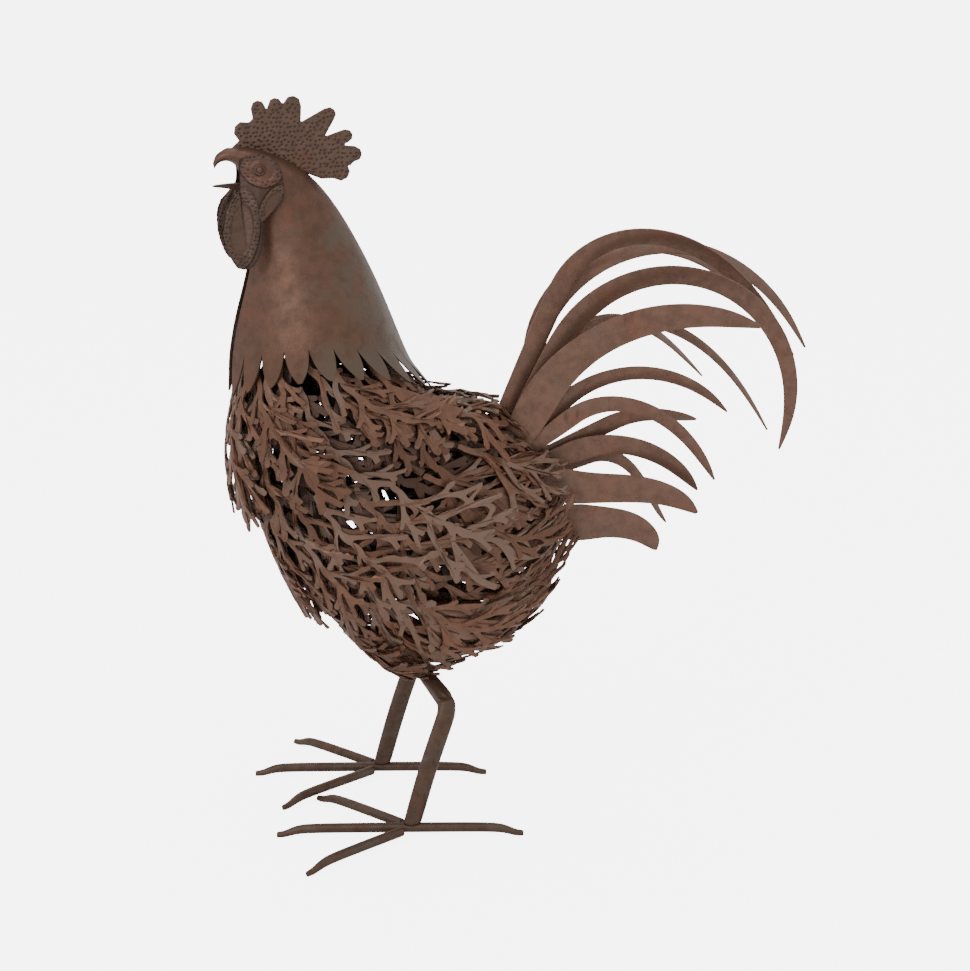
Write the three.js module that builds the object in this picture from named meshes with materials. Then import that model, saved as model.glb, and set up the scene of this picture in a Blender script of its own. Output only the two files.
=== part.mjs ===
// A standing rooster of sheet steel and round rod, in millimetres.
// It looks along -X, +Z is up, and its left side is toward -Y.
import * as THREE from "three";

// Driving dimensions
const weldGap = 0.3; // between pieces that are welded to each other
const sheet = 1.8; // steel sheet of cape, face and tail
const plateSheet = 1.6; // thinner sheet of the body plates
const combSheet = 3;
const rodRadius = 2.2; // frame rod
const rodInset = 1.2; // from the body's outline to the frame rod's centre line
const bodyHalfWidth = 74;
const capeHalfWidth = 78;
const capeOverhang = 4; // of the cape beyond the body plates under it
const headHalfWidth = 21;
const plateRise = 0.065; // how steeply a body plate lifts toward its tips
const twigWidth = 5.8;
const footSpread = 72; // from the middle plane to a foot
const footX = -88;
const footTurn = 13; // degrees, both feet toward +Y
const middleToe = 127;
const sideToe = 124;
const backToe = 104;
const toeRadius = 4.8;
const toeTip = 2.6;
const toeSpread = 41; // degrees between the toes
const toeRise = 9; // a toe rod's centre line above the ground
const kneeX = -52;
const kneeHeight = 128;
const hipShare = 0.66; // of the belly line, where the thighs meet the frame rod
const legWidth = 18;
const legThickness = 12;
const eyeRadius = 5;

const group = new THREE.Group();
const degrees = THREE.MathUtils.degToRad;
const mix = THREE.MathUtils.lerp;
const at = (x, y, z) => new THREE.Vector3(x, y, z);
const sideways = at(0, 1, 0);

function steel(color, roughness, metalness) {
  return new THREE.MeshStandardMaterial({ color, roughness, metalness });
}
const rustBrown = steel(0x6b4436, 0.55, 0.6);
const oliveGrey = steel(0x5e5648, 0.5, 0.65);
const darkSteel = steel(0x3c3836, 0.5, 0.7);

// Makes one closed mesh from corner points and triangles, with its faces out.
function addSolid(name, points, triangles, material) {
  let volume = 0;
  const cross = new THREE.Vector3();
  for (const [a, b, c] of triangles) {
    volume += cross.crossVectors(points[a], points[b]).dot(points[c]);
  }
  const facing = volume < 0 ? triangles.map(([a, b, c]) => [a, c, b]) : triangles;
  const geometry = new THREE.BufferGeometry().setFromPoints(points);
  geometry.setIndex(facing.flat());
  const mesh = new THREE.Mesh(geometry, material);
  mesh.name = name;
  group.add(mesh);
}

// Gives a surface of triangles its thickness: front, back and a rim around.
function addSheet(name, front, back, triangles, material) {
  const count = front.length;
  const faces = [];
  const rim = new Map();
  for (const [a, b, c] of triangles) {
    faces.push([a, b, c], [count + a, count + c, count + b]);
    for (const [p, q] of [[a, b], [b, c], [c, a]]) {
      if (!rim.delete(`${q},${p}`)) rim.set(`${p},${q}`, [p, q]);
    }
  }
  for (const [p, q] of rim.values()) {
    faces.push([q, p, count + p], [q, count + p, count + q]);
  }
  addSolid(name, [...front, ...back], faces, material);
}

function quad(a, b, c, d) {
  return [[a, b, c], [a, c, d]];
}

// Joins rings of corners into a bar with two flat ends.
function addBar(name, rings, material) {
  const sides = rings[0].length;
  const faces = [];
  for (let i = 0; i + 1 < rings.length; i++) {
    for (let k = 0; k < sides; k++) {
      const next = (k + 1) % sides;
      const low = i * sides;
      faces.push(...quad(low + k, low + next, low + sides + next, low + sides + k));
    }
  }
  const last = (rings.length - 1) * sides;
  for (let k = 1; k + 1 < sides; k++) {
    faces.push([0, k + 1, k], [last, last + k, last + k + 1]);
  }
  addSolid(name, rings.flat(), faces, material);
}

// An eight-sided ring with a flat facet below, across one direction of travel.
function octagon(centre, travel, halfWidth, halfThickness) {
  const along = travel.clone().normalize();
  const width = new THREE.Vector3().crossVectors(along, sideways).normalize();
  const thickness = new THREE.Vector3().crossVectors(width, along);
  return Array.from({ length: 8 }, (_, k) => {
    const angle = degrees(22.5 + 45 * k);
    return centre.clone()
      .addScaledVector(width, halfWidth * Math.cos(angle))
      .addScaledVector(thickness, halfThickness * Math.sin(angle));
  });
}

function curveThrough(points) {
  return new THREE.CatmullRomCurve3(points.map(([x, z]) => at(x, 0, z)), false, "centripetal");
}

// Neck and cape: two bent sheets from the beak's tip down to the ends of the hackle feathers.
// Each row: front edge x, z; back ridge x, z; half width; gap of the front edge; side lift.
const capeRows = [
  [-242.5, 619.5, -244, 624, 1.6, 0, 0],
  [-239.6, 625, -241, 633, 0.2 * headHalfWidth, 0, 0],
  [-231.5, 627, -231.5, 637.5, 0.34 * headHalfWidth, 0, 0],
  [-223.8, 622.8, -215, 638.8, 0.58 * headHalfWidth, 0.6, 0],
  [-219.8, 613, -199, 635, 0.76 * headHalfWidth, 1, 0],
  [-217, 596, -166, 621, headHalfWidth, 2, 0],
  [-215, 571, -139, 590, 1.22 * headHalfWidth, 6, 0],
  [-216, 545, -118, 553, mix(headHalfWidth, capeHalfWidth, 0.24), 8, 2],
  [-223, 514, -101, 518, mix(headHalfWidth, capeHalfWidth, 0.47), 9, 6],
  [-232, 483, -87, 483, mix(headHalfWidth, capeHalfWidth, 0.71), 10, 14],
  [-238, 449, -72, 443, mix(headHalfWidth, capeHalfWidth, 0.89), 11, 24],
  [-240, 417, -50, 414, capeHalfWidth, 12, 30],
];
const solidBeakRows = 3;
const hackles = 11; // feathers of the fringe on each half
const hackleLean = 0.45; // of a feather's width, from the middle of the half to its edges

function capePoint(row, share, inset) {
  const [frontX, frontZ, backX, backZ, halfWidth, gap, lift] = row;
  const reach = Math.max(halfWidth - inset, 0.5);
  const end = Math.sqrt(1 - (gap / reach) ** (4 / 3));
  const turn = mix(0, Math.PI - Math.acos(end), share);
  const forward = (1 - Math.cos(turn)) / 2;
  const bulge = Math.sin(turn) ** 1.5;
  const shrink = inset / Math.hypot(frontX - backX, frontZ - backZ);
  const across = mix(shrink, 1 - shrink, forward);
  return at(mix(backX, frontX, across), weldGap / 2 + reach * bulge,
    mix(backZ, frontZ, across) + lift * bulge);
}

function addCape(name, side, material) {
  const front = [];
  const back = [];
  const faces = [];
  const place = (row, share, solid) => {
    const outer = capePoint(row, share, 0);
    const inner = solid ? at(outer.x, weldGap / 2, outer.z) : capePoint(row, share, sheet);
    if (solid) outer.y += 0.4;
    front.push(outer.multiply(at(1, side, 1)));
    back.push(inner.multiply(at(1, side, 1)));
    return front.length - 1;
  };
  const rows = capeRows.slice(0, -1);
  const grid = rows.map((row, j) => Array.from({ length: hackles + 1 },
    (_, k) => place(row, k / hackles, j < solidBeakRows)));
  for (let j = 0; j + 1 < rows.length; j++) {
    for (let k = 0; k < hackles; k++) {
      faces.push(...quad(grid[j][k], grid[j][k + 1], grid[j + 1][k + 1], grid[j + 1][k]));
    }
  }
  const root = capeRows.at(-2);
  const end = capeRows.at(-1);
  for (let k = 0; k < hackles; k++) {
    let [left, right] = [grid.at(-1)[k], grid.at(-1)[k + 1]];
    for (const [reach, narrow] of [[0.4, 0.05], [0.8, 0.2], [1.1, 0.43]]) {
      const row = root.map((value, i) => mix(value, end[i], reach));
      const lean = hackleLean * reach * (2 * (k + 0.5) / hackles - 1);
      const nextLeft = place(row, Math.max(k + narrow + lean, 0) / hackles, false);
      const nextRight = place(row, Math.min(k + 1 - narrow + lean, hackles) / hackles, false);
      faces.push(...quad(left, right, nextRight, nextLeft));
      [left, right] = [nextLeft, nextRight];
    }
  }
  addSheet(name, front, back, faces, material);
}
addCape("neck_cape_left", -1, rustBrown);
addCape("neck_cape_right", 1, rustBrown);

// Lower beak: a wedge that comes out between the two halves.
const lowerBeak = [[-245, 604.5, 1, 0.8], [-236, 604.5, 2.6, 1.8], [-227, 603.9, 3.6, 2.8],
  [-218.8, 603, 4.2, 3.8]];
addBar("lower_beak", lowerBeak.map(([x, z, halfWidth, halfHeight]) => [
  at(x, -halfWidth, z + halfHeight), at(x, halfWidth, z + halfHeight),
  at(x, 0.6 * halfWidth, z - halfHeight), at(x, -0.6 * halfWidth, z - halfHeight),
]), darkSteel);

// Comb: an upright plate with round fingers. Each finger has its tip circle's centre x, z and
// radius, its lean from +X, and the notch x, z behind it.
const combFingers = [
  [-216, 651, 9, 150, -208, 662],
  [-203, 671, 6.5, 95, -197, 667],
  [-188, 673, 6.5, 95, -182, 675],
  [-173, 673, 8, 80, -166, 658],
  [-141, 664, 6.5, 40, -145, 645],
  [-126, 645, 6, 15, -130, 637],
  [-119, 629, 7, -5, -123, 618.5],
  [-132, 614.5, 9, -45, -149, 608],
];
function addComb() {
  const outline = [];
  for (const [x, z, radius, lean, notchX, notchZ] of combFingers) {
    for (const step of [90, 40, 0, -40, -90]) {
      const angle = degrees(lean + step);
      outline.push([x + radius * Math.cos(angle), z + radius * Math.sin(angle)]);
    }
    outline.push([notchX, notchZ]);
  }
  for (const [, , backX, backZ] of capeRows.slice(2, 6).reverse()) {
    outline.push([backX + weldGap, backZ + 1.6 * weldGap]);
  }
  const flat = outline.map(([x, z]) => new THREE.Vector2(x, z));
  if (THREE.ShapeUtils.isClockWise(flat)) flat.reverse();
  const faces = THREE.ShapeUtils.triangulateShape(flat, []);
  const layer = (y) => flat.map((p) => at(p.x, y, p.y));
  addSheet("comb", layer(-combSheet / 2), layer(combSheet / 2), faces, rustBrown);
}
addComb();

// Face plates: eye ring, ear lobe and wattle stamped in one sheet.
const faceOutline = [[-222, 629], [-210, 633.5], [-199, 632], [-190, 624], [-187, 615], [-186, 603],
  [-189, 593], [-197, 584], [-205, 575], [-206, 558], [-210, 544], [-219, 535], [-229, 537],
  [-235, 548], [-239, 563], [-240, 578], [-236, 590], [-227, 599], [-223, 607], [-223, 618]];
const eyeCentre = [-207, 620];
const faceFrontX = -225;
const faceInset = 1.5; // of the plate's front, from the head's half width
const faceFlare = 0.125; // outward per millimetre toward the back
const lobeTop = 606; // below it, the plate stands off from the neck more and more
const lobeFlare = 0.117;
const eyeDepth = 1.6;
const cheekX = -205; // in front of it, the plate bends in toward the beak
const cheekBend = 0.03;
const cheekLow = 600; // the bend fades out down to here
const cheekFade = 12;
const eyeSides = 10;

function addFace(name, side, material) {
  const loop = curveThrough(faceOutline);
  loop.closed = true;
  const outline = loop.getPoints(2 * faceOutline.length).slice(0, -1)
    .map((p) => new THREE.Vector2(p.x, p.z));
  if (THREE.ShapeUtils.isClockWise(outline)) outline.reverse();
  const ring = (radius) => Array.from({ length: eyeSides }, (_, k) => {
    const angle = (-2 * Math.PI * k) / eyeSides;
    return new THREE.Vector2(eyeCentre[0] + radius * Math.cos(angle),
      eyeCentre[1] + radius * Math.sin(angle));
  });
  const hole = ring(eyeRadius);
  const faces = THREE.ShapeUtils.triangulateShape(outline, [hole]);
  const flat = [...outline, ...hole, ...ring(0.72 * eyeRadius), new THREE.Vector2(...eyeCentre)];
  const outerRing = outline.length;
  const innerRing = outerRing + eyeSides;
  const centre = innerRing + eyeSides;
  for (let k = 0; k < eyeSides; k++) {
    const next = (k + 1) % eyeSides;
    faces.push(...quad(outerRing + k, innerRing + k, innerRing + next, outerRing + next));
    faces.push([centre, innerRing + next, innerRing + k]);
  }
  const surface = (thickness) => flat.map((p, i) => {
    const flare = faceFlare * (p.x - faceFrontX) + lobeFlare * Math.max(0, lobeTop - p.y);
    const raised = i >= innerRing ? eyeDepth : 0;
    const fade = THREE.MathUtils.clamp((p.y - cheekLow) / cheekFade, 0, 1);
    const inward = cheekBend * Math.max(0, cheekX - p.x) ** 2 * fade;
    return at(p.x, side * (headHalfWidth - faceInset + flare + raised + thickness - inward), p.y);
  });
  addSheet(name, surface(sheet), surface(0), faces, material);
}
addFace("face_plate_left", -1, rustBrown);
addFace("face_plate_right", 1, rustBrown);

// The body's outline in the middle plane, as the breast and belly line and the back line.
const bellyLine = curveThrough([[-226, 440], [-232, 385], [-222, 328], [-191, 264], [-147, 204],
  [-97, 160], [-58, 148], [-6, 165], [42, 205], [68, 262]]);
const backLine = curveThrough([[-86, 436], [-48, 404], [-6, 394], [28, 376], [56, 332]]);

const bodyCentre = at(-85, 0, 290);

// A point on the body: flow runs from the cape to the tail, turn from the back to the belly.
function bodyPoint(flow, turn, side, rise) {
  const surface = (f, t) => {
    const along = Math.min(Math.max(f, 0), 1);
    const back = backLine.getPointAt(along);
    const belly = bellyLine.getPointAt(along);
    const swell = Math.sin(Math.PI * mix(0.28, 0.93, along));
    const middle = back.clone().add(belly).multiplyScalar(0.5);
    const point = middle.addScaledVector(back.sub(belly), Math.cos(t) / 2);
    const underCape = Math.max(0, 1 - along / 0.35);
    const halfWidth = mix(bodyHalfWidth, capeHalfWidth - capeOverhang, underCape);
    point.y = side * halfWidth * swell * Math.sin(t);
    point.z += 24 * Math.sin(t) * underCape;
    return point;
  };
  const step = 0.004;
  const base = surface(flow, turn);
  const alongFlow = surface(flow + step, turn).sub(surface(flow - step, turn));
  const alongTurn = surface(flow, turn + step).sub(surface(flow, turn - step));
  const out = alongFlow.clone().cross(alongTurn).normalize();
  const outward = base.clone().sub(bodyCentre);
  if (out.dot(outward) < 0) out.negate();
  return {
    point: base.addScaledVector(out, rise),
    flowLength: alongFlow.length() / (2 * step),
    turnLength: alongTurn.length() / (2 * step),
  };
}

// Frame rod: down the breast, along the belly, up at the rear and back to the neck.
function rodPoint(line, share) {
  const point = line.getPointAt(share);
  return point.add(bodyCentre.clone().sub(point).setLength(rodInset));
}

function addFrameRod() {
  const bellySteps = 26;
  const backSteps = 4;
  const route = [];
  for (let i = 1; i <= bellySteps; i++) route.push(rodPoint(bellyLine, i / bellySteps));
  for (let i = backSteps; i >= 0; i--) route.push(rodPoint(backLine, i / backSteps));
  const curve = new THREE.CatmullRomCurve3(route, false, "centripetal");
  const section = new THREE.Shape(Array.from({ length: 6 }, (_, k) => new THREE.Vector2(
    rodRadius * Math.cos(degrees(60 * k)), rodRadius * Math.sin(degrees(60 * k)))));
  const rod = new THREE.ExtrudeGeometry(section,
    { steps: 36, extrudePath: curve, bevelEnabled: false });
  const mesh = new THREE.Mesh(rod, darkSteel);
  mesh.name = "frame_rod";
  group.add(mesh);
}
addFrameRod();

// A whole number's own share between 0 and 1, always the same.
function chance(seed) {
  const value = Math.sin(seed * 12.9898) * 43758.5453;
  return value - Math.floor(value);
}

// A branching twig plate laid out flat, its root at 0, 0 and its flow along the first number.
// A branch is a start, an end, and two branches that go on from there or none. The trunk sends a
// side branch out at each fork, to one side and then the other, and each ends in two fingers.
const trunkForks = 4;
function growTwig(length, halfWidth, seed) {
  const grow = (from, stage) => {
    if (stage === trunkForks) {
      const sway = 0.2 * halfWidth * (chance(seed + 31) - 0.5);
      return { from, to: [length, from[1] + sway], next: null };
    }
    const to = [length * (0.12 + 0.19 * stage), 0.3 * halfWidth * (chance(seed + 7 * stage) - 0.5)];
    const sign = (stage + seed) % 2 === 0 ? 1 : -1;
    const edge = sign * halfWidth;
    const elbow = [to[0] + 0.16 * length, mix(to[1], edge, 0.4)];
    const reach = (finger) => length * (0.11 + 0.09 * chance(seed + 11 * stage + finger));
    const inner = [elbow[0] + reach(1), mix(to[1], edge, 0.52)];
    const outer = [elbow[0] + reach(2), edge * (0.9 + 0.1 * chance(seed + stage))];
    const fingers = [inner, outer].map((tip) => ({ from: elbow, to: tip, next: null }));
    if (sign > 0) fingers.reverse();
    const branch = { from: to, to: elbow, next: fingers };
    const trunk = grow(to, stage + 1);
    return { from, to, next: sign > 0 ? [branch, trunk] : [trunk, branch] };
  };
  return grow([0, 0], 0);
}

function heading({ from, to }) {
  const [x, y] = [to[0] - from[0], to[1] - from[1]];
  const size = Math.hypot(x, y);
  return [x / size, y / size];
}

// Walks around a branch from its left edge over its tips to its right edge.
function twigOutline(branch, width) {
  const along = heading(branch);
  const left = [-along[1], along[0]];
  const [x, y] = branch.to;
  const half = width / 2;
  if (!branch.next) {
    return [0.62, -0.62].map((edge) => [x + edge * half * left[0], y + edge * half * left[1]]);
  }
  const [first, second] = branch.next;
  const join = (next, sign) => {
    const onward = heading(next);
    const bisector = [-along[1] - onward[1], along[0] + onward[0]];
    const size = Math.hypot(...bisector);
    return [x + (sign * half * bisector[0]) / size, y + (sign * half * bisector[1]) / size];
  };
  const [a, b] = [heading(first), heading(second)];
  const middle = [a[0] + b[0], a[1] + b[1]];
  const size = Math.hypot(...middle);
  const openness = Math.sqrt(Math.max(1 - (size / 2) ** 2, 0.04));
  const crotch = Math.min((0.42 * width) / openness, 1.9 * width);
  return [
    join(first, 1), ...twigOutline(first, 0.93 * width),
    [x + (crotch * middle[0]) / size, y + (crotch * middle[1]) / size],
    ...twigOutline(second, 0.93 * width), join(second, -1),
  ];
}

// Bends one flat plate over the body from its root at a share of the flow and a turn in degrees.
function addBodyPlate(name, side, flow, turn, length, halfWidth, seed, material) {
  const root = bodyPoint(flow, degrees(turn), side, 0);
  const tree = growTwig(length, halfWidth, seed);
  const outline = [[0, twigWidth / 2], ...twigOutline(tree, twigWidth), [0, -twigWidth / 2]]
    .map(([x, y]) => new THREE.Vector2(x, y));
  if (THREE.ShapeUtils.isClockWise(outline)) outline.reverse();
  const faces = THREE.ShapeUtils.triangulateShape(outline, []);
  const bend = (thickness) => outline.map((p) => bodyPoint(flow + p.x / root.flowLength,
    degrees(turn) + p.y / root.turnLength, side, plateRise * p.x + thickness).point);
  addSheet(name, bend(plateSheet), bend(0), faces, material);
}

// Rows of body plates on each side: share of the flow at the root, turn in degrees, length and
// half width.
const plateRows = [
  [[0.1, 26, 96, 21], [0.03, 60, 104, 22], [0.02, 92, 114, 20], [0.02, 124, 120, 19],
    [0.02, 156, 122, 16]],
  [[0.46, 46, 84, 30], [0.34, 82, 102, 31], [0.26, 118, 112, 28], [0.23, 153, 120, 22]],
  [[0.62, 80, 84, 29], [0.5, 115, 108, 30], [0.45, 150, 116, 24]],
  [[0.72, 118, 84, 27], [0.68, 152, 100, 21]],
];
for (const [side, label] of [[-1, "left"], [1, "right"]]) {
  let number = 0;
  for (const row of plateRows) {
    for (const [flow, turn, length, halfWidth] of row) {
      number += 1;
      const seed = number + (side > 0 ? 60 : 0);
      const material = number % 3 === 0 ? oliveGrey : rustBrown;
      addBodyPlate(`body_plate_${label}_${number}`, side, flow, turn, length, halfWidth, seed,
        material);
    }
  }
}

// Tail feathers: strips that rise from the frame rod and bend over. Each has its side, its layer
// on the rod, its swing away from the middle plane, the root's x and z, its straight stem, the
// heading at root, middle and tip of the bent blade, the blade's length and width, and its twist
// at middle and tip. All angles are in degrees.
const tailFeathers = [
  ["sickle_left_1", -1, 0, 3, 6, 361, 141, 66, -56, -54, 292, 18, 35, 50],
  ["sickle_left_2", -1, 1, 8, 18, 357, 92, 62, -34, -122, 380, 20, 25, 10],
  ["broad_left_1", -1, 3, 19, 18, 349, 49, 61, 15, -22, 242, 29, 10, 25],
  ["short_left_1", -1, 2, 10.5, 24, 349, 53, 46, -8, -53, 186, 14, 15, 30],
  ["short_left_2", -1, 3, 18, 26, 345, 58, 38, -48, -65, 174, 15, 20, 30],
  ["short_left_3", -1, 0, 4, 34, 335, 90, 23, -12, -13, 88, 14, 20, 40],
  ["short_left_4", -1, 1, 8, 33, 328, 48, 21, -25, -59, 141, 19, 15, 30],
  ["broad_left_2", -1, 2, 12, 32, 326, 25, -14, 25, -54, 149, 30, 10, 25],
  ["broad_left_3", -1, 0, 12, 33, 279, 55, -1, 9, -83, 86, 31, 10, 25],
  ["sickle_right_1", 1, 0, 2, 40, 390, 25, 83, -22, -69, 391, 18, 50, 30],
  ["sickle_right_2", 1, 2, 12, 50, 384, 25, 94, -50, -54, 420, 16, 50, 30],
  ["broad_right_1", 1, 3, 13, 31, 386, 25, 52, -50, -60, 346, 12, 30, 40],
  ["broad_right_2", 1, 4, 29, 49, 359, 25, 75, -50, -40, 299, 12, 30, 40],
  ["short_right_1", 1, 1, 10, 36, 315, 69, 13, -89, -49, 129, 12, 30, 40],
];
const featherSteps = 12;
const layerRoom = 2; // between two layers of feathers
const featherRoot = 0.8; // of the width, at the rod
const featherBase = 1.2; // of the width, at the top of the stem

function addFeather([label, side, layer, swing, rootX, rootZ, stem, rise, crest, droop, length,
  width, twistMiddle, twistTip]) {
  const outward = rodRadius + weldGap + sheet / 2 + layer * (sheet + layerRoom);
  const away = degrees(swing);
  const front = [];
  const back = [];
  const faces = [];
  let place = at(rootX, side * outward, rootZ);
  for (let i = 0; i <= featherSteps; i++) {
    const share = Math.max(0, (i - 1) / (featherSteps - 1));
    const angle = degrees((1 - share) ** 2 * rise + 2 * share * (1 - share) * crest
      + share ** 2 * droop);
    const travel = at(Math.cos(angle) * Math.cos(away), side * Math.cos(angle) * Math.sin(away),
      Math.sin(angle));
    const level = at(-Math.sin(away), side * Math.cos(away), 0);
    const upright = new THREE.Vector3().crossVectors(travel, level).multiplyScalar(side);
    const twist = degrees(share < 0.5 ? mix(0, twistMiddle, 2 * share)
      : mix(twistMiddle, twistTip, 2 * share - 1));
    const across = upright.clone().multiplyScalar(Math.cos(twist))
      .addScaledVector(level, Math.sin(twist));
    const face = new THREE.Vector3().crossVectors(travel, across);
    const taper = Math.sqrt(Math.max(1 - share ** 4, 0.012)); // to a blunt point
    const spread = i === 0 ? featherRoot : Math.max(mix(featherBase, 1, share / 0.35), 1);
    const half = (width / 2) * spread * taper;
    const hollow = 0.12 * half;
    for (const [edge, depth] of [[1, 0], [0, hollow], [-1, 0]]) {
      const point = place.clone().addScaledVector(across, edge * half).addScaledVector(face, depth);
      front.push(point.clone().addScaledVector(face, sheet / 2));
      back.push(point.clone().addScaledVector(face, -sheet / 2));
    }
    if (i > 0) {
      const low = 3 * (i - 1);
      faces.push(...quad(low, low + 1, low + 4, low + 3), ...quad(low + 1, low + 2, low + 5, low + 4));
    }
    const reach = i === 0 ? stem : length / (featherSteps - 1);
    place = place.clone().addScaledVector(travel, reach);
  }
  addSheet(`tail_${label}`, front, back, faces, label.startsWith("sickle") ? rustBrown : oliveGrey);
}
tailFeathers.forEach(addFeather);

// Legs: one bar each, from the foot up to the knee and in to the frame rod's underside.
function addLeg(name, side) {
  const footTop = toeRise + toeRadius + weldGap;
  const y = side * footSpread;
  const knee = at(kneeX, y, kneeHeight);
  const ankle = at(footX, y, footTop);
  const hipWidth = 0.4 * legWidth;
  const hipThickness = 0.4 * legThickness;
  const hip = rodPoint(bellyLine, hipShare)
    .add(at(0, side * (hipThickness + weldGap), -rodRadius - weldGap - hipWidth));
  const shin = knee.clone().sub(ankle);
  const thigh = hip.clone().sub(knee);
  const bow = ankle.clone().lerp(knee, 0.5).add(at(-2, 0, 0));
  const rings = [octagon(ankle, at(0, 0, 1), legWidth / 2, legThickness / 2),
    octagon(bow, shin, legWidth / 2, legThickness / 2)];
  const bendRadius = 14;
  const before = shin.clone().normalize();
  const after = thigh.clone().normalize();
  for (const share of [0, 0.33, 0.67, 1]) {
    const start = knee.clone().addScaledVector(before, -bendRadius * (1 - share) ** 2);
    const place = start.addScaledVector(after, bendRadius * share ** 2);
    rings.push(octagon(place, before.clone().lerp(after, share), legWidth / 2, legThickness / 2));
  }
  rings.push(octagon(hip, thigh, hipWidth, hipThickness));
  addBar(name, rings, oliveGrey);
}

// Toes: a rod each, level at first and bent down to a flat tip on the ground.
function toeRings(start, turn, length) {
  const direction = at(-Math.cos(degrees(turn)), Math.sin(degrees(turn)), 0);
  const flat = Math.cos(degrees(22.5));
  const stations = [[0, toeRise, toeRadius], [length - 34, toeRise, toeRadius],
    [length - 18, 0.85 * toeRise, 0.92 * toeRadius], [length - 8, 1.25 * toeTip * flat, 1.25 * toeTip],
    [length, toeTip * flat, toeTip]];
  return stations.map(([reach, height, radius]) => {
    const centre = start.clone().addScaledVector(direction, reach);
    centre.z = height;
    const across = at(-direction.y, direction.x, 0);
    return Array.from({ length: 8 }, (_, k) => {
      const angle = degrees(22.5 + 45 * k);
      return centre.clone().addScaledVector(across, radius * Math.cos(angle))
        .add(at(0, 0, radius * Math.sin(angle)));
    });
  });
}

function addFoot(label, side) {
  const centre = at(footX, side * footSpread, 0);
  const forward = toeRings(centre, footTurn, middleToe);
  const backward = toeRings(centre, footTurn + 180, backToe);
  const turned = backward.slice(1).reverse()
    .map((ring) => [3, 2, 1, 0, 7, 6, 5, 4].map((k) => ring[k]));
  addBar(`long_toe_${label}`, [...turned, ...forward], rustBrown);
  const spread = degrees(toeSpread);
  const clear = toeRadius + weldGap + toeRadius * Math.cos(spread);
  const setBack = clear / Math.sin(spread);
  for (const [toe, turn] of [["outer", -side], ["inner", side]]) {
    const angle = footTurn - turn * toeSpread;
    const direction = at(-Math.cos(degrees(angle)), Math.sin(degrees(angle)), 0);
    const start = centre.clone().addScaledVector(direction, setBack);
    addBar(`${toe}_toe_${label}`, toeRings(start, angle, sideToe - setBack), rustBrown);
  }
}
for (const [side, label] of [[-1, "left"], [1, "right"]]) {
  addLeg(`leg_${label}`, side);
  addFoot(label, side);
}

// The origin is on the ground, below the middle of the whole figure.
const box = new THREE.Box3().setFromObject(group);
const middle = box.getCenter(new THREE.Vector3());
group.position.set(-middle.x, -middle.y, -box.min.z);

export default group;
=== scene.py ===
import bisect
import math

import bmesh
import bpy
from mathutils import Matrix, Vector, kdtree, noise


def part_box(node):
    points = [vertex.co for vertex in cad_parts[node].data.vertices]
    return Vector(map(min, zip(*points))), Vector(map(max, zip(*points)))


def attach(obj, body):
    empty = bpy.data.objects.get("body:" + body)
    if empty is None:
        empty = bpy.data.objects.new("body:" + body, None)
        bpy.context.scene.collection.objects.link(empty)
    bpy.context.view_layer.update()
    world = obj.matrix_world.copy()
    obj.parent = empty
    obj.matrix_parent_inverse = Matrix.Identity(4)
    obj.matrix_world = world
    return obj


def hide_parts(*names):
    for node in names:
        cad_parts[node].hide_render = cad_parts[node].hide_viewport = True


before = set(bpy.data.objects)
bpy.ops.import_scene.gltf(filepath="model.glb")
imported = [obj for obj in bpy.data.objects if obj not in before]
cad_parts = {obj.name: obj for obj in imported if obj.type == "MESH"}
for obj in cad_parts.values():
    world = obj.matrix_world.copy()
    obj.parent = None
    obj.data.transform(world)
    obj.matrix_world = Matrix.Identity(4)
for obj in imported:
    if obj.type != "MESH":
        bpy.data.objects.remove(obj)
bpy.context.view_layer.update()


# Neck and cape. Two bent halves of 1.8 mm sheet steel that form the forehead, the upper beak, the
# neck and the cape, slit into hackle feathers at its lower edge. They meet in a ground-down weld
# along the ridge of the neck, and are heat-patinated to a reddish brown with olive-grey clouds.
class Value:
    """A shader socket that can be written in sums."""

    def __init__(self, finish, socket):
        self.finish = finish
        self.socket = socket

    def math(self, operation, *terms):
        return self.finish.node("ShaderNodeMath", {"operation": operation}, dict(enumerate(terms)))

    def __add__(self, other):
        return self.math("ADD", self, other)

    def __sub__(self, other):
        return self.math("SUBTRACT", self, other)

    def __rsub__(self, other):
        return self.math("SUBTRACT", other, self)

    def __mul__(self, other):
        return self.math("MULTIPLY", self, other)

    __radd__ = __add__
    __rmul__ = __mul__


class Finish:
    """One material's nodes."""

    def __init__(self, name):
        self.material = bpy.data.materials.new(name)
        self.material.use_nodes = True
        self.tree = self.material.node_tree
        self.tree.nodes.clear()

    def node(self, kind, settings=None, sockets=None, output=0):
        node = self.tree.nodes.new(kind)
        for name, setting in (settings or {}).items():
            setattr(node, name, setting)
        for name, value in (sockets or {}).items():
            if isinstance(value, Value):
                self.tree.links.new(value.socket, node.inputs[name])
            else:
                node.inputs[name].default_value = value
        return Value(self, node.outputs[output]) if node.outputs else None

    def clouds(self, place, scale, detail=4.0, roughness=0.55, distortion=0.0):
        return self.node("ShaderNodeTexNoise", None, {
            "Vector": place, "Scale": scale, "Detail": detail, "Roughness": roughness,
            "Distortion": distortion})

    def between(self, value, low, high):
        """0 where the value is under low, 1 where it is over high, smooth in between."""
        return self.node("ShaderNodeMapRange", {"interpolation_type": "SMOOTHSTEP"}, {
            "Value": value, "From Min": low, "From Max": high, "To Min": 0.0, "To Max": 1.0})

    def blend(self, share, first, second):
        return self.node("ShaderNodeMix", {"data_type": "RGBA"}, {
            0: share, 6: first, 7: second}, output=2)


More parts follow.
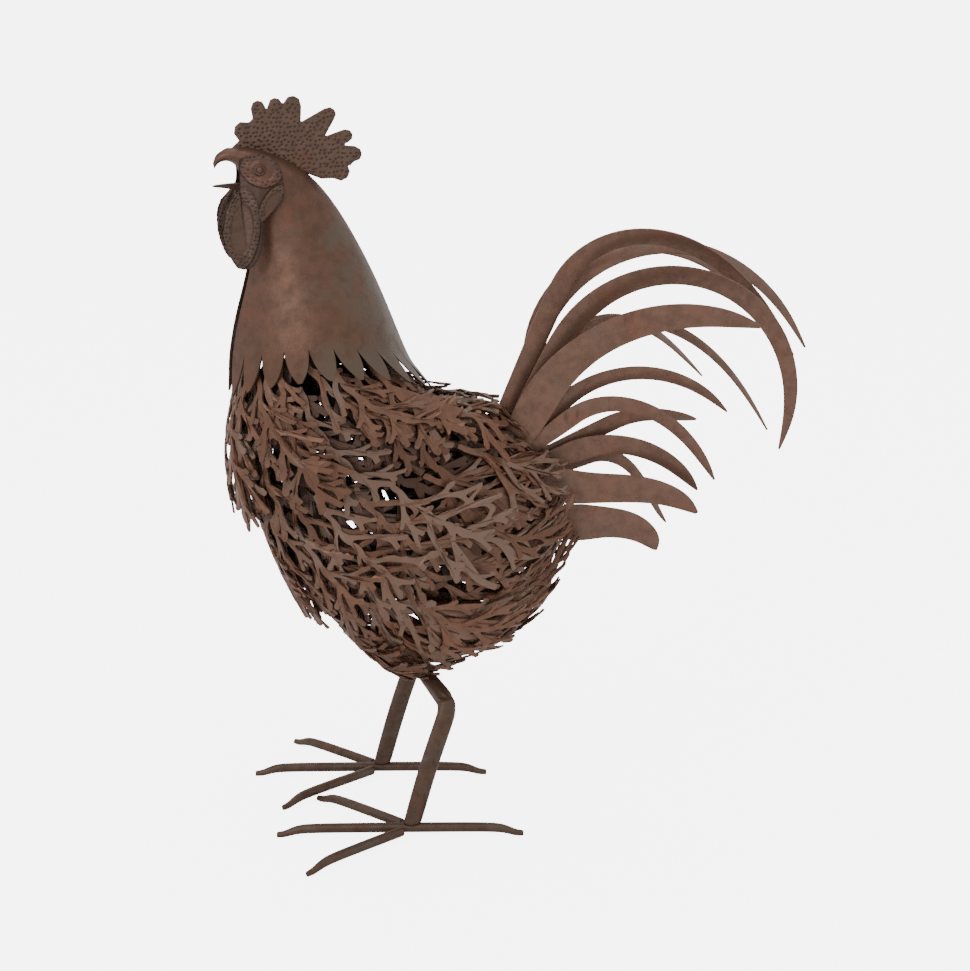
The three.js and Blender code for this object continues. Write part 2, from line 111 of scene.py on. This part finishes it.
def colour(red, green, blue):
    """A colour as it looks on a screen, 0 to 255, as the linear colour that a shader takes."""
    linear = [((c / 255 + 0.055) / 1.055) ** 2.4 for c in (red, green, blue)]
    return (*linear, 1.0)


def patina(name, brown, red, olive, dark, shift, redness=0.5, greyness=0.5, grime=0.5,
           roughness=0.5, grain=0.0006, sooty=False, tones=None, drift=None):
    """Heat patina on steel: a brown ground, reddish and olive clouds, dark grime and a fine grain.

    drift gives the two x between which olive gains ground. The soot flag reads the mesh's own
    share of soot, which on the body plates is also painted shade, and tones reads its tone, which
    leans a whole plate toward the first or second of tones.
    """
    darker, paler = [0.72 * c for c in brown[:3]] + [1], [min(1.9 * c, 1) for c in brown[:3]] + [1]
    finish = Finish(name)
    coordinates = finish.node("ShaderNodeTexCoord", output=3)
    place = finish.node("ShaderNodeMapping", None, {"Vector": coordinates, "Location": shift})
    broad = finish.clouds(place, 17.0, 5.0, 0.6, 0.6)
    other = finish.clouds(finish.node("ShaderNodeMapping", None, {
        "Vector": place, "Location": (3.1, 1.7, 5.3)}), 23.0, 5.0, 0.62, 0.4)
    streaks = finish.clouds(finish.node("ShaderNodeMapping", None, {
        "Vector": place, "Scale": (1.0, 1.0, 0.22)}), 95.0, 4.0, 0.6)
    specks = finish.clouds(place, 420.0, 3.0, 0.6)
    mottle = finish.clouds(place, 90.0, 4.0, 0.65)
    ground = finish.blend(finish.between(mottle, 0.32, 0.7), brown, darker)
    rusty = finish.between(broad, 0.66 - 0.3 * redness, 0.92 - 0.3 * redness)
    ground = finish.blend(rusty * 0.85, ground, red)
    if drift:
        across = finish.node("ShaderNodeSeparateXYZ", None, {"Vector": coordinates})
        other = other + finish.between(across, *drift) * 0.3
    grey = finish.between(other, 0.68 - 0.32 * greyness, 0.88 - 0.32 * greyness)
    ground = finish.blend(grey * 0.8, ground, olive)
    soot = finish.between(broad * 0.5 + streaks * 0.5, 0.66 - 0.22 * grime, 0.8 - 0.22 * grime)
    ground = finish.blend(soot * 0.7, ground, dark)
    pale = finish.between(specks, 0.6, 0.74) * finish.between(mottle, 0.4, 0.62)
    ground = finish.blend(pale * 0.35, ground, paler)
    if tones:
        tone = finish.node("ShaderNodeAttribute", {"attribute_name": "tone"}, output=2)
        ground = finish.blend(finish.between(tone, 0.55, 1.0) * 0.75, ground, tones[0])
        ground = finish.blend(finish.between(tone, 0.45, 0.0) * 0.75, ground, tones[1])
    # The mesh's own share of soot darkens toward the dark colour; on the body plates it is also
    # painted shade, darkest on the deepest layers.
    if sooty:
        soot_share = finish.node("ShaderNodeAttribute", {"attribute_name": "soot"}, output=2)
        ground = finish.blend(soot_share, ground, dark)
    rough = (mottle - 0.5) * 0.35 + soot * 0.12 - grey * 0.06 + roughness
    height = specks * 0.5 + mottle * 0.5
    bump = finish.node("ShaderNodeBump", None, {
        "Strength": 0.55, "Distance": grain, "Height": height})
    shader = finish.node("ShaderNodeBsdfPrincipled", None, {
        "Base Color": ground, "Roughness": rough, "Metallic": 0.55, "Normal": bump,
        "Specular IOR Level": 0.5})
    finish.node("ShaderNodeOutputMaterial", None, {"Surface": shader})
    return finish.material


def select_only(*pieces):
    bpy.ops.object.select_all(action="DESELECT")
    for piece in pieces:
        piece.select_set(True)
    bpy.context.view_layer.objects.active = pieces[0]


merge_distance = 0.00002


def copy_of(node, name, join_angle=40):
    """A copy of a CAD node's mesh with its corners merged and its triangles joined to quads."""
    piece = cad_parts[node].copy()
    piece.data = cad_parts[node].data.copy()
    piece.name = name
    piece.parent = None
    piece.data.materials.clear()
    bpy.context.scene.collection.objects.link(piece)
    piece.hide_render = False
    select_only(piece)
    bpy.ops.object.mode_set(mode="EDIT")
    bpy.ops.mesh.select_all(action="SELECT")
    bpy.ops.mesh.remove_doubles(threshold=merge_distance)
    bpy.ops.mesh.tris_convert_to_quads(face_threshold=math.radians(join_angle),
                                       shape_threshold=math.radians(join_angle))
    bpy.ops.object.mode_set(mode="OBJECT")
    return piece


def apply_modifier(piece, kind, **settings):
    select_only(piece)
    modifier = piece.modifiers.new(kind, kind)
    for name, setting in settings.items():
        setattr(modifier, name, setting)
    bpy.ops.object.modifier_apply(modifier=modifier.name)


def soften(piece, edge, levels=2, angle=50):
    """Rounds the cut edges a little and smooths the bent faces between them."""
    apply_modifier(piece, "BEVEL", width=edge, segments=2, limit_method="ANGLE",
                   angle_limit=math.radians(angle))
    apply_modifier(piece, "SUBSURF", levels=levels, render_levels=levels)
    bpy.ops.object.shade_smooth()


def swell(piece, distance):
    """Moves the whole surface out, by what the smoothing of its corners took away."""
    select_only(piece)
    bpy.ops.object.mode_set(mode="EDIT")
    bpy.ops.mesh.select_all(action="SELECT")
    bpy.ops.transform.shrink_fatten(value=distance)
    bpy.ops.object.mode_set(mode="OBJECT")


def finish_piece(piece, material, slot, *nodes):
    piece.data.materials.clear()
    piece.data.materials.append(material)
    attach(piece, "root")
    if nodes:
        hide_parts(*nodes)


cape_edge = 0.0004
cape_brown = patina("cape steel", colour(101, 72, 57), colour(112, 71, 54), colour(92, 79, 66),
                    colour(50, 42, 40), (0.3, 0.1, 0.7), redness=0.45, greyness=0.35, grime=0.3,
                    roughness=0.44, drift=(-0.26, -0.12))
for side in ("left", "right"):
    cape = copy_of(f"neck_cape_{side}", f"cape_{side}")
    soften(cape, cape_edge)
    finish_piece(cape, cape_brown, "cape_steel", f"neck_cape_{side}")


# Lower beak. A small wedge bent from a scrap of the same sheet and tacked under the upper beak.
# It is darker than the neck, because it sits in the soot of the weld.
beak_edge = 0.0005
dark_steel = patina("dark steel", colour(86, 66, 55), colour(92, 60, 46), colour(74, 68, 62),
                    colour(34, 31, 31), (2.3, 0.4, 1.7), greyness=0.6, grime=0.6, roughness=0.5)
beak = copy_of("lower_beak", "lower_beak_wedge")
soften(beak, beak_edge)
finish_piece(beak, dark_steel, "dark_steel", "lower_beak")


# Comb. One plate of 3 mm steel, cut into rounded fingers and punched all over with small dimples.
# Soot stays in them, and the rims of the fingers are ground smooth.
def cad(x, y, z):
    """A point of the bird in millimetres, its middle plane at y = 0, in the frame's metres."""
    return middle_plane + Vector((x, y, z)) / 1000


comb_low, comb_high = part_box("comb")
beak_reach = 0.245  # from the bird's own zero to the tip of its lower beak
middle_plane = Vector((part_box("lower_beak")[0].x + beak_reach, (comb_low.y + comb_high.y) / 2, 0))


dimple_stretch = 0.75
dimple_edge = (0.1, 0.36)  # from the flat bottom of a dimple to its rim, as shares of the pitch


def step(value, low, high):
    """0 where the value is under low, 1 where it is over high, smooth in between."""
    share = min(max((value - low) / (high - low), 0), 1)
    return share * share * (3 - 2 * share)


def chance(seed):
    """A whole number's own share between 0 and 1, always the same."""
    value = math.sin(seed * 12.9898) * 43758.5453
    return value - math.floor(value)


def field(point, pitch):
    """Height of a punched field, 0 in the middle of each small dimple and 1 between them. The
    dimples stand in staggered rows, each a little off its place."""
    across, up = point.x / pitch + 400, point.z / pitch
    nearest = 1
    for row in range(math.floor(up) - 1, math.floor(up) + 2):
        stagger = 0.5 * (row % 2)
        for column in range(math.floor(across - stagger) - 1, math.floor(across - stagger) + 2):
            spot = 7 * row + 131 * column
            nearest = min(nearest, math.hypot(
                dimple_stretch * (column + stagger + 0.2 + 0.6 * chance(spot) - across),
                row + 0.2 + 0.6 * chance(spot + 3) - up))
    return step(nearest, *dimple_edge)


def hammer(piece, voxel, relief, passes=3):
    """Remeshes a plate finely, raises a relief on both sides of it and marks the low places. The
    relief gives a height in millimetres and a share of soot for a place and its way to the rim."""
    apply_modifier(piece, "REMESH", mode="VOXEL", voxel_size=voxel)
    apply_modifier(piece, "SMOOTH", factor=0.5, iterations=passes)
    apply_modifier(piece, "SMOOTH", factor=0.5, iterations=12 * passes, use_x=False, use_z=False)
    vertices = piece.data.vertices
    rim = kdtree.KDTree(len(vertices))
    for vertex in vertices:
        if abs(vertex.normal.y) < 0.6:
            rim.insert(vertex.co, vertex.index)
    rim.balance()
    moved, seams = [], []
    for vertex in vertices:
        height, seam = relief(vertex.co, rim.find(vertex.co)[2])
        moved.append(vertex.co + vertex.normal * (height / 1000 * abs(vertex.normal.y)))
        seams.append(seam)
    for vertex, place in zip(vertices, moved):
        vertex.co = place
    piece.data.attributes.new("soot", "FLOAT", "POINT").data.foreach_set("value", seams)
    piece.data.update()
    select_only(piece)
    bpy.ops.object.shade_smooth()


comb_rim = (0.001, 0.0034)
comb_pitch = 0.004
comb_ridge = [(-166, 621), (-199, 635), (-215, 638.8), (-231.5, 637.5)]
comb_foot = (-0.002, 0, -0.006)  # how far its foot goes on between the two halves of the neck


def comb_relief(place, from_rim):
    inside = step(from_rim, *comb_rim)
    high = field(place, comb_pitch)
    return 0.7 * inside * (high - 0.6), 0.85 * inside * (1 - high) + 0.25 * (1 - inside)


comb_steel = patina("comb steel", colour(104, 80, 67), colour(112, 72, 54), colour(112, 98, 86),
                    colour(50, 38, 32), (1.1, 0.6, 0.2), redness=0.5, greyness=0.35, grime=0.3,
                    roughness=0.42, grain=0.0003, sooty=True)
comb = copy_of("comb", "hammered_comb")
select_only(comb)
bpy.ops.object.mode_set(mode="EDIT")
bpy.ops.mesh.select_all(action="DESELECT")
bpy.ops.object.mode_set(mode="OBJECT")
for vertex in comb.data.vertices:
    vertex.select = any(math.hypot(vertex.co.x - corner.x, vertex.co.z - corner.z) < 0.0015
                        for corner in (cad(x, 0, z) for x, z in comb_ridge))
bpy.ops.object.mode_set(mode="EDIT")
bpy.ops.transform.translate(value=comb_foot)
bpy.ops.object.mode_set(mode="OBJECT")
hammer(comb, 0.0006, comb_relief)
finish_piece(comb, comb_steel, "comb_steel", "comb")


# Face plates. On each side one stamped plate, tacked to the cheek: a patch with the ring and the
# ball of the eye, an ear lobe and a wattle, each with a dimpled rim around a smoother middle.
face_zones = [  # centre x, z, turn from +X in degrees, half length, half width
    (-204, 620.5, -10, 18, 15.5), (-223.5, 569, 82, 35, 15.5), (-196, 591, 58, 18.5, 9)]
groove_edge = (0.93, 1.06)  # the groove round a zone and the dimpled band within it, as shares
band_edge = (0.55, 0.68)
face_pitch = 0.0036
eye_place = (-206.5, 620.5)
eye_ring, eye_ball = 3.9, 2.7  # radii
eye_field = (5.5, 7)  # the smooth steel round the eye ends between these radii


def hump(distance, width):
    """1 at no distance, and soon less to both sides."""
    return math.exp(-(distance / width) ** 2)


def face_relief(place, from_rim):
    x, z = (place.x - middle_plane.x) * 1000, place.z * 1000
    reach = []
    for centre_x, centre_z, turn, long, wide in face_zones:
        along, across = math.cos(math.radians(turn)), math.sin(math.radians(turn))
        dx, dz = x - centre_x, z - centre_z
        reach.append(math.hypot((dx * along + dz * across) / long,
                                (dz * along - dx * across) / wide))
    groove = step(min(reach), *groove_edge)
    band = step(min(reach), *band_edge) * (1 - groove)
    dimple = field(place, face_pitch)
    from_eye = math.hypot(x - eye_place[0], z - eye_place[1])
    ball = math.sqrt(max(1 - (from_eye / eye_ball) ** 2, 0))
    outside = step(from_eye, *eye_field)
    height = 0.9 * band - 1.1 * groove + 1.1 * hump(from_eye - eye_ring, 0.8) + 1.7 * ball
    height += 0.45 * (dimple - 0.5) * max(band, 0.35 * (1 - groove)) * outside
    soot = 0.45 * groove + 0.8 * band * (1 - dimple) + 0.25 * (1 - step(from_rim, 0.0004, 0.0022))
    soot = max(soot * outside, 0.85 * hump(from_eye - 0.72 * eye_ring, 0.55),
               0.45 * hump(from_eye - 1.35 * eye_ring, 0.6))
    return height, min(soot, 1)


face_steel = patina("face steel", colour(92, 70, 58), colour(102, 68, 55), colour(84, 76, 68),
                    colour(36, 30, 28), (1.2, 0.5, 3.3), redness=0.7, greyness=0.3, grime=0.3,
                    roughness=0.42, grain=0.0003, sooty=True)
for side in ("left", "right"):
    face = copy_of(f"face_plate_{side}", f"face_{side}")
    hammer(face, 0.00055, face_relief, 2)
    finish_piece(face, face_steel, "comb_steel", f"face_plate_{side}")


# Frame rod. One 4 mm round rod, bent round the body in its middle plane. The body plates, the legs
# and the tail are welded to it.
rod = copy_of("frame_rod", "bent_frame_rod")
apply_modifier(rod, "SUBSURF", levels=2, render_levels=2)
swell(rod, 0.0003)
bpy.ops.object.shade_smooth()
finish_piece(rod, dark_steel, "dark_steel", "frame_rod")


# Body plates. Flat scraps cut by torch into branching twigs, bent over the body in two or three
# layers and tacked to each other where they touch. The gaps between them show the dark far side.
# The sizes of the body are the same as the solids', in millimetres.
belly_outline = [(-226, 440), (-232, 385), (-222, 328), (-191, 264), (-147, 204), (-97, 160),
                 (-58, 148), (-6, 165), (42, 205), (68, 262)]
back_outline = [(-86, 436), (-48, 404), (-6, 394), (28, 376), (56, 332)]
body_centre = Vector((-85, 0, 290))
body_half_width = 74
body_fullness = (0.28, 0.93)  # of half a sine wave, from the cape to the tail
shoulder_rise, shoulder_share = 24, 0.35
plate_thickness = 1.6
plate_edge = 0.00035


def smooth_line(corners, steps=24):
    """A smooth line through the corners, and how far along it each of its points lies."""
    points = [Vector((x, 0, z)) for x, z in corners]
    points = [points[0] * 2 - points[1], *points, points[-1] * 2 - points[-2]]
    line = []
    for before, start, end, after in zip(points, points[1:], points[2:], points[3:]):
        first, second, third = [(b - a).length ** 0.5 for a, b in
                                ((before, start), (start, end), (end, after))]
        leaving = ((start - before) / first - (end - before) / (first + second)
                   + (end - start) / second) * second
        arriving = ((end - start) / second - (after - start) / (second + third)
                    + (after - end) / third) * second
        for number in range(steps):
            t = number / steps
            line.append(start * (2 * t ** 3 - 3 * t ** 2 + 1) + leaving * (t ** 3 - 2 * t ** 2 + t)
                        + end * (3 * t ** 2 - 2 * t ** 3) + arriving * (t ** 3 - t ** 2))
    line.append(points[-2])
    reach = [0.0]
    for a, b in zip(line, line[1:]):
        reach.append(reach[-1] + (b - a).length)
    return line, reach


belly_line = smooth_line(belly_outline)
back_line = smooth_line(back_outline)


def point_at(smooth, share):
    """The point that lies this share of the way along a smooth line."""
    line, reach = smooth
    along = min(max(share, 0), 1) * reach[-1]
    i = min(max(bisect.bisect_right(reach, along), 1), len(line) - 1)
    part = (along - reach[i - 1]) / (reach[i] - reach[i - 1])
    return line[i - 1].lerp(line[i], part)


def skin(flow, turn, side):
    """The body's surface: flow runs from the cape to the tail, turn from the back to the belly."""
    if flow > 0.98:
        return skin(0.98, turn, side).lerp(skin(0.96, turn, side), (0.98 - flow) / 0.02)
    along = max(flow, 0)
    back, belly = point_at(back_line, along), point_at(belly_line, along)
    point = (back + belly) / 2 + (back - belly) * (math.cos(turn) / 2)
    start, end = body_fullness
    swelling = math.sin(math.pi * (start + (end - start) * along))
    point.y = side * body_half_width * swelling * math.sin(turn)
    point.z += shoulder_rise * math.sin(turn) * max(0, 1 - along / shoulder_share)
    return point


def body_point(flow, turn, side, rise):
    """A point that stands off the body's surface, and the surface's lengths for a whole flow and
    for a turn of one radian there."""
    near = 0.004
    base = skin(flow, turn, side)
    along_flow = skin(flow + near, turn, side) - skin(flow - near, turn, side)
    along_turn = skin(flow, turn + near, side) - skin(flow, turn - near, side)
    out = along_flow.cross(along_turn).normalized()
    if out.dot(base - body_centre) < 0:
        out.negate()
    return base + out * rise, along_flow.length / (2 * near), along_turn.length / (2 * near)


branch_pitch = 16.5
stem_share = 0.8  # of a plate's length, up to where its stem splits for the last time
branch_angle = (32, 46)  # degrees from the stem
elbow_share, bend_share, tip_share, spur_share = 0.42, 0.3, 0.24, 0.2  # of a branch's length
least_for_two_tips = 37
last_fingers = (15, 21)


def go(place, degrees, distance):
    angle = math.radians(degrees)
    return place[0] + distance * math.cos(angle), place[1] + distance * math.sin(angle)


def coral(length, half_width, seed):
    """A flat branching cut-out as joints: a place and the joints that go on from it. Its stem
    sends a branch to either side in turn, and each branch forks into fingers."""
    count = max(2, round(stem_share * length / branch_pitch))
    pitch = stem_share * length / count
    least_angle, most_angle = branch_angle
    least_finger, most_finger = last_fingers

    def branch(root, number, side):
        draw = [chance(seed + 31 * number + k) for k in range(6)]
        fullness = 0.62 + 0.38 * math.sin(math.pi * (number + 1) / (count + 1))
        reach = 2.15 * half_width * fullness * (0.85 + 0.3 * draw[0])
        opening = side * (least_angle + (most_angle - least_angle) * draw[1])
        elbow = go(root, opening, elbow_share * reach)
        bend = go(elbow, 0.5 * opening, bend_share * reach)
        tips = [(go(bend, opening * (0.6 + 0.4 * draw[2]), (tip_share + 0.1 * draw[3]) * reach), [])]
        if reach > least_for_two_tips:
            tips.append((go(bend, -0.35 * opening, spur_share * reach), []))
        ways = [(bend, tips[::side])]
        if draw[4] > 0.2:
            spur = go(elbow, opening + 24 * side, (spur_share + 0.1 * draw[5]) * reach)
            ways.insert(0, (spur, []))
        return elbow, ways[::side]

    def stem(number):
        draw = [chance(seed + 47 * number + k) for k in range(4)]
        side = 1 if (number + seed) % 2 else -1
        place = (pitch * (number + 0.6 + 0.3 * (draw[0] - 0.5)), side * (-1 - 1.5 * draw[1]))
        if number == count:
            upper, lower = [least_finger + (most_finger - least_finger) * draw[k] for k in (3, 2)]
            return place, [(go(place, 18 + 8 * draw[2], upper), []),
                           (go(place, -14 - 8 * draw[3], lower), [])]
        return place, [branch(place, number, side), stem(number + 1)][::side]
    return (0, 0), [stem(0)]


def around(joint, along, width, least):
    """Walks round a joint and all that goes on from it, from its left edge to its right one. The
    twigs get narrower from joint to joint, down to the least width."""
    place = Vector(joint[0])
    left = Vector((-along.y, along.x))
    if not joint[1]:
        return [place + along * (reach * width) + left * (edge * width) for reach, edge in
                ((-0.3, 0.48), (0.05, 0.3), (0.05, -0.3), (-0.3, -0.48))]
    ways = [(Vector(after[0]) - place).normalized() for after in joint[1]]

    def corner(way, sign):
        bisector = Vector((-along.y - way.y, along.x + way.x)).normalized()
        return place + bisector * (sign * width / 2)
    points = [corner(ways[0], 1), *around(joint[1][0], ways[0], max(0.9 * width, least), least)]
    if len(ways) > 1:
        middle = ways[0] + ways[1]
        openness = math.sqrt(max(1 - (middle.length / 2) ** 2, 0.03))
        points.append(place + middle.normalized() * min(0.36 * width / openness, 1.5 * width))
        points += around(joint[1][1], ways[1], max(0.9 * width, least), least)
    return [*points, corner(ways[-1], -1)]


def rounded(outline, times):
    """Cuts the corners of a closed outline, so that it becomes round."""
    for _ in range(times):
        outline = [point for a, b in zip(outline, outline[1:] + outline[:1])
                   for point in (a.lerp(b, 0.25), a.lerp(b, 0.75))]
    return outline


ripple_height, ripple_rate = 1.3, 0.33


def coral_plate(side, flow, turn, heading, length, half_width, seed, lift, rise, twig, inner):
    """One coral plate bent over the body, as an object of its own. Its heading is the angle from
    the flow toward the belly, and it rises toward its tips. Inner ones are cut more roughly."""
    _, flow_length, turn_length = body_point(flow, math.radians(turn), side, 0)
    tree = coral(length, half_width, seed)
    start = Vector((1, 0))
    outline = [Vector((-5, 0.6 * twig)), *around(tree, start, 1.2 * twig, twig),
               Vector((-5, -0.6 * twig))]
    tilt = 0.1 * (chance(seed + 5) - 0.5)
    along, across = math.cos(math.radians(heading)), math.sin(math.radians(heading))
    sheet = bmesh.new()
    sheet.faces.new([sheet.verts.new((x, y, 0)) for x, y in rounded(outline, 1 if inner else 2)])
    bmesh.ops.triangulate(sheet, faces=sheet.faces[:], ngon_method="EAR_CLIP")
    for corner in sheet.verts:
        x, y = corner.co.x, corner.co.y
        ripple = ripple_height * math.sin(ripple_rate * y + seed) * min(max(x / length, 0), 1)
        point, _, _ = body_point(max(flow + (x * along - y * across) / flow_length, 0.0),
                                 math.radians(turn) + (x * across + y * along) / turn_length, side,
                                 rise * x + tilt * y + ripple + lift)
        corner.co = cad(*point)
    sheet.normal_update()
    if sum(face.normal.dot(face.calc_center_median() - cad(*body_centre)) * face.calc_area()
           for face in sheet.faces) < 0:
        bmesh.ops.reverse_faces(sheet, faces=sheet.faces[:])
    mesh = bpy.data.meshes.new("coral plate")
    sheet.to_mesh(mesh)
    sheet.free()
    plate = bpy.data.objects.new("coral plate", mesh)
    bpy.context.scene.collection.objects.link(plate)
    apply_modifier(plate, "SOLIDIFY", thickness=plate_thickness / 1000, offset=1)
    if not inner:
        apply_modifier(plate, "BEVEL", width=plate_edge, segments=1, limit_method="ANGLE",
                       angle_limit=math.radians(60))
    return plate


def mark(plate, **shares):
    """Gives a whole plate its own share of soot and painted shade, and its own tone, for its
    material.
    """
    for name, share in shares.items():
        layer = plate.data.attributes.new(name, "FLOAT", "POINT")
        layer.data.foreach_set("value", [share] * len(plate.data.vertices))


# Each plate's share of soot, which on the deeper layers is also painted shade, darkens it toward the
# dark colour here.
plate_steel = patina("plate steel", colour(122, 87, 69), colour(128, 80, 58), colour(124, 106, 94),
                     colour(22, 17, 15), (0.9, 2.1, 0.3), redness=0.5, greyness=0.5, grime=0.3,
                     roughness=0.4, sooty=True,
                     tones=(colour(126, 103, 90), colour(94, 62, 46)))
plate_rows = [  # flow, turn and heading in degrees, length, half width
    [(0.1, 26, -6, 96, 21), (0.03, 60, -24, 104, 22), (0.02, 92, -24, 114, 20),
     (0.02, 124, -14, 120, 19), (0.02, 156, -2, 122, 16)],
    [(0.46, 46, 0, 84, 30), (0.34, 82, -8, 102, 31), (0.26, 118, -4, 112, 28),
     (0.23, 153, 6, 120, 22)],
    [(0.62, 80, 10, 84, 29), (0.5, 115, 14, 108, 30), (0.45, 150, 24, 116, 24)],
    [(0.72, 118, 4, 84, 27), (0.68, 152, 10, 100, 21)]]
# The deeper layers are darker, with soot and with painted shade for the shade between the layers.
layers = [  # along the flow, across it in half widths, lift, rise, length, width, seed, soot and painted shade, twig
    (0, 0, 2.0, 0.1, 1.12, 1.15, 0, 0, 4.5), (-18, 0.9, -0.6, 0.08, 1.08, 1.15, 101, 0.06, 4.8),
    (24, -0.85, -1.0, 0.08, 1.05, 1.15, 211, 0.12, 4.8),
    (-34, -0.1, -6, 0.05, 1.2, 1.3, 307, 0.5, 6), (30, 0.3, -6.5, 0.05, 1.1, 1.3, 409, 0.5, 6),
    (0, 0.6, -12, 0.02, 1.15, 1.5, 503, 0.85, 7)]
outer_layers = 3
# Further layers stand out along the keel and over the tail's root, and fill the flank.
keel = (4, 1.3, 0, 0.17, 0.95, 0.9, 607, 0.05, 4.5)
rump = (30, 0, 4, 0.2, 0.9, 1.0, 701, 0.0, 4.5)
flank = (30, 0.4, -2.5, 0.07, 1.1, 1.2, 809, 0.1, 4.8)
inner_soot = 0.3  # more soot and painted shade than this marks an inner layer
heading_spread = 16
tail_start = 1.06  # the flow at which plates end, and a little later those that rise
for side, sign, seed_step in (("left", -1, 0), ("right", 1, 60)):
    for number, (flow, turn, heading, length, half_width) in enumerate(
            [plate for row in plate_rows for plate in row], start=1):
        _, flow_length, turn_length = body_point(flow, math.radians(turn), sign, 0)
        # The belly's rear is open, so it has no inner layers.
        kept = layers[:outer_layers] if flow > 0.4 and turn > 110 else layers
        extra = [keel] * (turn > 115) + [rump] * (flow > 0.4 and turn < 120)
        extra += [flank] * (0.2 < flow < 0.6 and 70 < turn < 120)
        plates = []
        for ahead, across, lift, rise, longer, wider, seed, soot, twig in kept + extra:
            plate_turn = turn + math.degrees(across * half_width / turn_length)
            plate_flow = max(flow + ahead / flow_length, 0.01)
            plate_long = min(length * longer,
                             (tail_start + 0.5 * rise - plate_flow) * flow_length)
            plate_seed = number + seed_step + seed
            plate = coral_plate(sign, plate_flow, plate_turn,
                                heading + heading_spread * (chance(plate_seed + 9) - 0.5),
                                plate_long,
                                half_width * wider, plate_seed, lift, rise, twig,
                                inner=soot > inner_soot)
            # The plate's share of soot is also painted shade: the deeper its layer, the darker.
            mark(plate, soot=soot, tone=chance(plate_seed + 3))
            plates.append(plate)
        select_only(*plates)
        bpy.ops.object.join()
        body_plate = plates[0]
        body_plate.name = f"coral_plates_{side}_{number}"
        finish_piece(body_plate, plate_steel, "plate_steel", f"body_plate_{side}_{number}")


# Tail feathers. Strips of the same sheet, bent into a crest and twisted toward their tips, fanned
# out from the rump and welded to each other and to the frame rod at their roots.
feather_edge = 0.0004
tail_steel = patina("tail steel", colour(122, 91, 76), colour(126, 84, 66), colour(108, 90, 78),
                    colour(44, 36, 34), (1.9, 0.8, 2.2), redness=0.55, greyness=0.45, grime=0.4,
                    roughness=0.44)
for node in sorted(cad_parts):
    if node.startswith("tail_"):
        feather = copy_of(node, node.replace("tail_", "feather_"))
        soften(feather, feather_edge)
        finish_piece(feather, tail_steel, "tail_steel", node)


# Legs and toes. A flat bar bent at the knee for each leg, welded under the frame rod, and round
# rods for the toes, bent down at their tips and welded to each other under the ankle.
leg_edge, toe_edge = 0.0014, 0.0008
rim_angle = 65
leg_steel = patina("leg steel", colour(92, 70, 57), colour(106, 68, 51), colour(90, 82, 72),
                   colour(40, 34, 32), (0.4, 1.6, 2.9), redness=0.45, greyness=0.55, grime=0.5,
                   roughness=0.48)
for side in ("left", "right"):
    leg = copy_of(f"leg_{side}", f"bent_leg_{side}")
    soften(leg, leg_edge, angle=rim_angle)
    swell(leg, 0.0006)
    finish_piece(leg, leg_steel, "leg_steel", f"leg_{side}")
    for toe in ("long_toe", "outer_toe", "inner_toe"):
        rod = copy_of(f"{toe}_{side}", f"{toe}_rod_{side}")
        soften(rod, toe_edge, angle=rim_angle)
        swell(rod, 0.0003)
        finish_piece(rod, leg_steel, "leg_steel", f"{toe}_{side}")


# Floor and light: a plain pale floor, a broad soft light from the upper left front, and a pale
# surround. The camera stands where the photograph's stood.
bpy.ops.object.select_all(action="DESELECT")
bpy.ops.mesh.primitive_plane_add(size=60, location=(0, 0, 0))
floor = bpy.context.active_object
floor.name = "floor"
pale = Finish("pale floor")
seen = pale.node("ShaderNodeLightPath")
glow = pale.blend(seen, (0, 0, 0, 1), (1, 1, 1, 1))
shader = pale.node("ShaderNodeBsdfPrincipled", None, {
    "Base Color": (0.86, 0.86, 0.86, 1), "Roughness": 0.9, "Emission Color": glow,
    "Emission Strength": 5.4})
pale.node("ShaderNodeOutputMaterial", None, {"Surface": shader})
floor.data.materials.append(pale.material)

world = bpy.data.worlds.new("surround")
bpy.context.scene.world = world
world.use_nodes = True
sky = world.node_tree.nodes
sky["Background"].inputs["Strength"].default_value = 6.4  # as the camera sees it
ray, tint = sky.new("ShaderNodeLightPath"), sky.new("ShaderNodeMix")
tint.data_type = "RGBA"
tint.inputs[6].default_value = (0.15, 0.15, 0.15, 1)  # and this share of it as light
tint.inputs[7].default_value = (1, 1, 1, 1)
world.node_tree.links.new(ray.outputs["Is Camera Ray"], tint.inputs[0])
world.node_tree.links.new(tint.outputs[2], sky["Background"].inputs["Color"])

bird_middle = Vector((0, 0, 0.35))
lamps = (("key", (-1.9, -1.3, 1.9), 2.0, 21), ("top", (0.0, 0.3, 2.6), 1.8, 9))
for name, place, size, power in lamps:
    lamp = bpy.data.lights.new(name, "AREA")
    lamp.size = size
    lamp.energy = power
    light = bpy.data.objects.new(name, lamp)
    light.location = place
    light.rotation_euler = (bird_middle - Vector(place)).to_track_quat("-Z", "Y").to_euler()
    bpy.context.scene.collection.objects.link(light)

camera_distance, camera_height = 1841, 844
yaw, pitch = math.radians(14), math.radians(16)
camera = bpy.data.objects.new("camera", bpy.data.cameras.new("camera"))
camera.data.sensor_width = 36
camera.data.lens = 75.63
camera.location = cad(-camera_distance * math.sin(yaw), -camera_distance * math.cos(yaw),
                      camera_height)
look = Vector((math.sin(yaw) * math.cos(pitch), math.cos(yaw) * math.cos(pitch), -math.sin(pitch)))
camera.rotation_euler = look.to_track_quat("-Z", "Y").to_euler()
bpy.context.scene.collection.objects.link(camera)
bpy.context.scene.camera = camera
